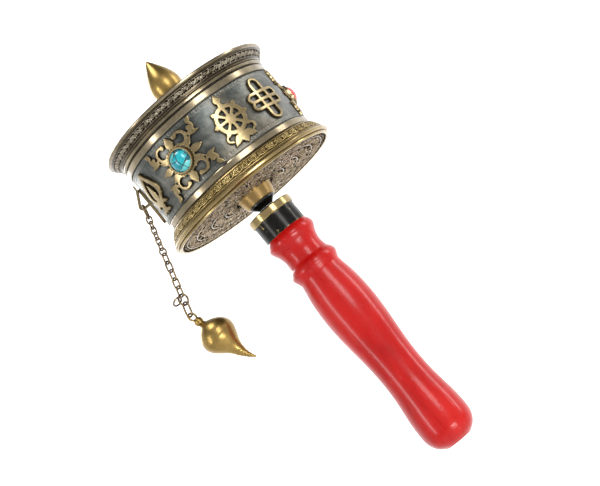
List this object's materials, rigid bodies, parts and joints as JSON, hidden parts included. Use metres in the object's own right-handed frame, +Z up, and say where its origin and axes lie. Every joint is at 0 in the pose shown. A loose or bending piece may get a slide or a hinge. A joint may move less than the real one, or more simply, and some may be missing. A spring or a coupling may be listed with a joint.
{
  "type": "hand-held prayer wheel",
  "caption": "Hand-held prayer wheel: turned red grip, free-spinning ornamented drum with a lift-off lid, bud finial, linked chain and a curled pear weight.",
  "frame": {"origin": "centre of the handle's butt face, at the mouth of the blind socket", "axes": "+Z up the spindle from the butt to the finial; +X and +Y across the drum, with the chain lug on the -X side and the turquoise rosette towards -Y at rest"},
  "size_m": [0.0962, 0.08, 0.2011],
  "materials": {
    "red_lacquer": "glossy lacquer",
    "black_ferrule": "worn black",
    "brass": "satin, tarnished",
    "steel": "dull",
    "black_nylon": "satin",
    "pewter": "mottled antique",
    "old_nickel": "polished, antique",
    "copper_filigree": "rough, antique",
    "paper": "matt",
    "wrap_cloth": "woven",
    "relief_brass": "satin, antique",
    "turquoise": "polished, veined",
    "coral": "polished",
    "chain_brass": "bright, worn",
    "gold_brass": "satin"
  },
  "bodies": {
    "handle": {"handle": "red_lacquer", "ferrule_tube": "black_ferrule", "ferrule_cap": "brass", "spindle": "steel", "thrust_washer": "black_nylon"},
    "drum": {"drum_shell": "pewter", "upper_band": "old_nickel", "lower_band": "old_nickel", "base_rim": "brass", "base_plate": "copper_filigree", "base_collar": "brass", "bearing_bush": "black_nylon", "core_tube": "brass", "paper_scroll": "paper", "scroll_wrap": "wrap_cloth", "rosette_1": "relief_brass", "rosette_2": "relief_brass", "rosette_3": "relief_brass", "bezel_1": "relief_brass", "bezel_2": "relief_brass", "bezel_3": "relief_brass", "stone_1": "turquoise", "stone_2": "coral", "stone_3": "coral", "relief_1": "relief_brass", "relief_2": "relief_brass", "relief_3": "relief_brass", "relief_4": "relief_brass", "relief_5": "relief_brass", "relief_6": "relief_brass", "lug_plate": "relief_brass", "lug_strap": "relief_brass"},
    "lid": {"lid_rim": "old_nickel", "lid_plate": "old_nickel", "lid_bush": "brass"},
    "finial": {"finial_cup": "gold_brass", "finial_bud": "gold_brass"},
    "jump_ring": {"jump_ring": "chain_brass"},
    "fine_link_1": {"fine_link_1": "chain_brass"},
    "fine_link_2": {"fine_link_2": "chain_brass"},
    "fine_link_3": {"fine_link_3": "chain_brass"},
    "fine_link_4": {"fine_link_4": "chain_brass"},
    "fine_link_5": {"fine_link_5": "chain_brass"},
    "fine_link_6": {"fine_link_6": "chain_brass"},
    "mid_ring": {"mid_ring": "chain_brass"},
    "long_link_1": {"long_link_1": "chain_brass"},
    "long_link_2": {"long_link_2": "chain_brass"},
    "long_link_3": {"long_link_3": "chain_brass"},
    "long_link_4": {"long_link_4": "chain_brass"},
    "long_link_5": {"long_link_5": "chain_brass"},
    "end_ring": {"end_ring": "chain_brass"},
    "end_loop": {"end_loop": "chain_brass"},
    "side_ring": {"side_ring": "chain_brass"},
    "weight": {"weight_eye": "gold_brass", "weight": "gold_brass"}
  },
  "joints": [
    {"name": "drum_spin", "type": "hinge", "parent": "handle", "child": "drum", "pos_m": [0, 0, 0.15], "axis": [0, 0, 1], "continuous": true},
    {"name": "finial_lift", "type": "slide", "parent": "handle", "child": "finial", "axis": [0, 0, 1], "range_m": [0, 0.045]},
    {"name": "lid_lift", "type": "slide", "parent": "drum", "child": "lid", "axis": [0, 0, 1], "range_m": [0, 0.0225]},
    {"name": "jump_ring_swing", "type": "hinge", "parent": "drum", "child": "jump_ring", "pos_m": [-0.03895, 0, 0.15405], "axis": [0, 1, 0], "range_deg": [-9, 30]},
    {"name": "fine_link_1_swing", "type": "hinge", "parent": "jump_ring", "child": "fine_link_1", "pos_m": [-0.04012, 0, 0.14996], "axis": [0.9613, 0, -0.2756], "range_deg": [-20, 20]},
    {"name": "fine_link_2_swing", "type": "hinge", "parent": "fine_link_1", "child": "fine_link_2", "pos_m": [-0.04078, 0, 0.14766], "axis": [0, -1, 0], "range_deg": [-20, 12]},
    {"name": "fine_link_3_swing", "type": "hinge", "parent": "fine_link_2", "child": "fine_link_3", "pos_m": [-0.04144, 0, 0.14535], "axis": [-0.9613, 0, 0.2756], "range_deg": [-20, 20]},
    {"name": "fine_link_4_swing", "type": "hinge", "parent": "fine_link_3", "child": "fine_link_4", "pos_m": [-0.0421, 0, 0.14304], "axis": [0, 1, 0], "range_deg": [-12, 20]},
    {"name": "fine_link_5_swing", "type": "hinge", "parent": "fine_link_4", "child": "fine_link_5", "pos_m": [-0.04276, 0, 0.14073], "axis": [0.9613, 0, -0.2756], "range_deg": [-20, 20]},
    {"name": "fine_link_6_swing", "type": "hinge", "parent": "fine_link_5", "child": "fine_link_6", "pos_m": [-0.04342, 0, 0.13843], "axis": [0, -1, 0], "range_deg": [-20, 12]},
    {"name": "mid_ring_swing", "type": "hinge", "parent": "fine_link_6", "child": "mid_ring", "pos_m": [-0.04408, 0, 0.13612], "axis": [-0.9613, 0, 0.2756], "range_deg": [-20, 20]},
    {"name": "long_link_1_swing", "type": "hinge", "parent": "mid_ring", "child": "long_link_1", "pos_m": [-0.04472, 0, 0.13391], "axis": [0, 1, 0], "range_deg": [-12, 20]},
    {"name": "long_link_2_swing", "type": "hinge", "parent": "long_link_1", "child": "long_link_2", "pos_m": [-0.04574, 0, 0.13035], "axis": [0.9613, 0, -0.2756], "range_deg": [-20, 20]},
    {"name": "long_link_3_swing", "type": "hinge", "parent": "long_link_2", "child": "long_link_3", "pos_m": [-0.04676, 0, 0.1268], "axis": [0, -1, 0], "range_deg": [-20, 12]},
    {"name": "long_link_4_swing", "type": "hinge", "parent": "long_link_3", "child": "long_link_4", "pos_m": [-0.04778, 0, 0.12324], "axis": [-0.9613, 0, 0.2756], "range_deg": [-20, 20]},
    {"name": "long_link_5_swing", "type": "hinge", "parent": "long_link_4", "child": "long_link_5", "pos_m": [-0.0488, 0, 0.11968], "axis": [0, 1, 0], "range_deg": [-12, 20]},
    {"name": "end_ring_swing", "type": "hinge", "parent": "long_link_5", "child": "end_ring", "pos_m": [-0.04982, 0, 0.11613], "axis": [0.9613, 0, -0.2756], "range_deg": [-20, 20]},
    {"name": "end_loop_swing", "type": "hinge", "parent": "end_ring", "child": "end_loop", "pos_m": [-0.05078, 0, 0.11276], "axis": [0, -1, 0], "range_deg": [-20, 12]},
    {"name": "weight_swing", "type": "hinge", "parent": "end_loop", "child": "weight", "pos_m": [-0.05224, 0, 0.10767], "axis": [0, 1, 0], "range_deg": [-15, 30]},
    {"name": "side_ring_swing", "type": "hinge", "parent": "end_ring", "child": "side_ring", "pos_m": [-0.05149, -0.00124, 0.11479], "axis": [-0.6797, 0.7071, 0.1949], "range_deg": [-15, 15]}
  ],
  "couplings": [
    {"joint": "lid_lift", "follows": "finial_lift", "ratio": 0.5}
  ]
}
